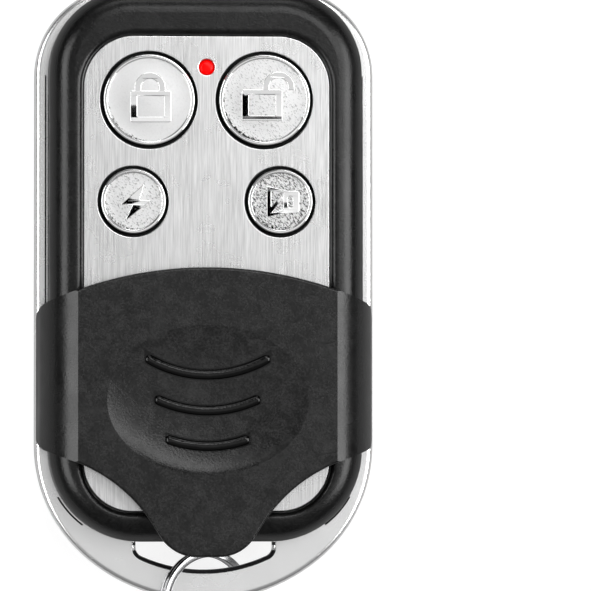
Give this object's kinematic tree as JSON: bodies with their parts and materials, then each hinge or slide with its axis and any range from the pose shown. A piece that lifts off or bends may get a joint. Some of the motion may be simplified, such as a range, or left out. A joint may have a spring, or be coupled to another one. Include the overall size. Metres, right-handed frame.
{
  "type": "wireless remote control",
  "caption": "Hand-held wireless remote control with round push buttons, an indicator light, a cover that slides over the buttons, and a split key ring through its tail.",
  "frame": {"origin": "on the flat back, on the centre line, at the middle of the case's length", "axes": "+Z out of the button face, +Y from the key ring to the top end, +X to the right as the buttons are looked at"},
  "size_m": [0.034, 0.0675, 0.0138],
  "materials": {
    "plated_shell": "bright nickel and chrome plating over the moulded back shell, faintly hazed",
    "black_frame": "black moulded rim with a soft gloss and a fine mottle",
    "brushed_plate": "satin plate brushed lengthwise in fine streaks",
    "black_cover": "black moulded cover with a soft gloss and a fine mottle",
    "plated_button": "plated cap with a polished rim and sign on a finely blasted field",
    "ring_steel": "polished flat-wire steel with drawing lines along the turns",
    "red_light": "clear red plastic with a smooth domed end",
    "board_laminate": "green lacquered glass laminate",
    "white_ceramic": "white moulded package",
    "battery_jacket": "plain dark printed sleeve with a bare metal end",
    "sprung_contact": "nickel-plated spring strip",
    "chip_moulding": "black epoxy package with tinned legs",
    "tinned_metal": "tinned steel",
    "trimmer_body": "cream ceramic",
    "coil_moulding": "dipped lacquer",
    "resistor_body": "black fired film",
    "capacitor_body": "tan ceramic",
    "screw_steel": "zinc-plated steel",
    "switch_moulding": "black moulded plastic",
    "dome_steel": "thin spring steel"
  },
  "bodies": {
    "case": {"back_shell": "plated_shell", "front_frame": "black_frame", "face_plate": "brushed_plate", "circuit_board": "board_laminate", "led_chip": "white_ceramic", "led_light_pipe": "red_light", "battery": "battery_jacket", "battery_contact_plus": "sprung_contact", "battery_contact_minus": "sprung_contact", "encoder_chip": "chip_moulding", "rf_transistor": "chip_moulding", "saw_resonator": "tinned_metal", "trimmer_capacitor": "trimmer_body", "rf_coil": "coil_moulding", "resistors": "resistor_body", "capacitors": "capacitor_body", "switch_leads": "tinned_metal", "case_screws": "screw_steel", "board_screws": "screw_steel", "lock_switch_base": "switch_moulding", "lock_switch_cover": "tinned_metal", "lock_switch_dome": "dome_steel", "unlock_switch_base": "switch_moulding", "unlock_switch_cover": "tinned_metal", "unlock_switch_dome": "dome_steel", "bolt_switch_base": "switch_moulding", "bolt_switch_cover": "tinned_metal", "bolt_switch_dome": "dome_steel", "speaker_switch_base": "switch_moulding", "speaker_switch_cover": "tinned_metal", "speaker_switch_dome": "dome_steel"},
    "cover": {"slide_cover": "black_cover"},
    "ring": {"key_ring": "ring_steel"},
    "lock_key": {"lock_button": "plated_button", "lock_switch_stem": "switch_moulding"},
    "unlock_key": {"unlock_button": "plated_button", "unlock_switch_stem": "switch_moulding"},
    "bolt_key": {"bolt_button": "plated_button", "bolt_switch_stem": "switch_moulding"},
    "speaker_key": {"speaker_button": "plated_button", "speaker_switch_stem": "switch_moulding"}
  },
  "joints": [
    {"name": "cover_slide", "type": "slide", "parent": "case", "child": "cover", "axis": [0, 1, 0], "range_m": [0, 0.023]},
    {"name": "ring_swing", "type": "hinge", "parent": "case", "child": "ring", "pos_m": [0, -0.0288, 0.00505], "axis": [1, 0, 0], "range_deg": [-45, 45]},
    {"name": "lock_press", "type": "slide", "parent": "case", "child": "lock_key", "axis": [0, 0, -1], "range_m": [0, 0.00025], "stiffness_N_per_m": 8000},
    {"name": "unlock_press", "type": "slide", "parent": "case", "child": "unlock_key", "axis": [0, 0, -1], "range_m": [0, 0.00025], "stiffness_N_per_m": 8000},
    {"name": "bolt_press", "type": "slide", "parent": "case", "child": "bolt_key", "axis": [0, 0, -1], "range_m": [0, 0.00025], "stiffness_N_per_m": 8000},
    {"name": "speaker_press", "type": "slide", "parent": "case", "child": "speaker_key", "axis": [0, 0, -1], "range_m": [0, 0.00025], "stiffness_N_per_m": 8000}
  ]
}
